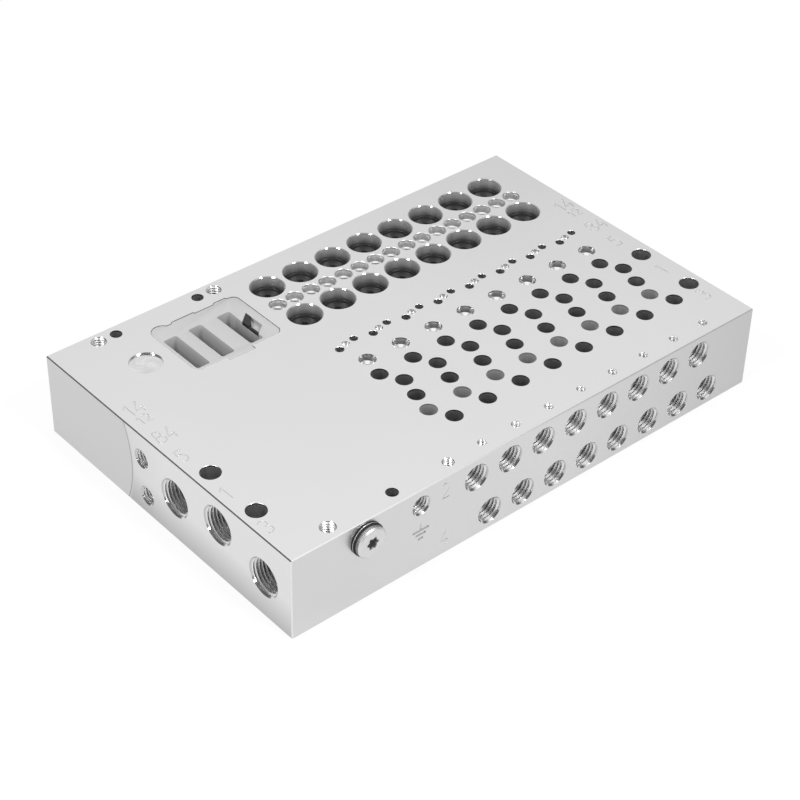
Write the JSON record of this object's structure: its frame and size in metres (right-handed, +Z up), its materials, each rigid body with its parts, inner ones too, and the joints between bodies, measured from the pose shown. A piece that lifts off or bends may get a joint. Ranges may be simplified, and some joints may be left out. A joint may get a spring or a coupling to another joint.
{
  "type": "valve manifold base",
  "caption": "Flat machined aluminium manifold base for a row of slim pneumatic valves, with threaded outlets on the front, supply ports in both ends and socket inserts.",
  "frame": {"origin": "centre of the block's bottom face", "axes": "+Z up from the bottom face to the valve face; the outlet ports look along -Y; +X along the row of valves, away from the plug and the grey frame"},
  "size_m": [0.146, 0.0963, 0.023],
  "materials": {
    "milled_aluminium": "fine milled, bright",
    "grey_plastic": "matt moulded",
    "black_plastic": "matt moulded",
    "steel": "turned, nickel plated",
    "seal": "smooth"
  },
  "bodies": {
    "root": {"manifold_block": "milled_aluminium", "slot_frame": "grey_plastic", "slot_clip": "black_plastic", "plug_screw": "steel", "plug_seal_ring": "seal", "socket_insert_back_1": "black_plastic", "socket_insert_back_2": "black_plastic", "socket_insert_back_3": "black_plastic", "socket_insert_back_4": "black_plastic", "socket_insert_back_5": "black_plastic", "socket_insert_back_6": "black_plastic", "socket_insert_back_7": "black_plastic", "socket_insert_back_8": "black_plastic", "socket_insert_front_1": "black_plastic", "socket_insert_front_2": "black_plastic", "socket_insert_front_3": "black_plastic", "socket_insert_front_4": "black_plastic", "socket_insert_front_5": "black_plastic", "socket_insert_front_6": "black_plastic", "socket_insert_front_7": "black_plastic", "socket_insert_front_8": "black_plastic"}
  },
  "joints": []
}
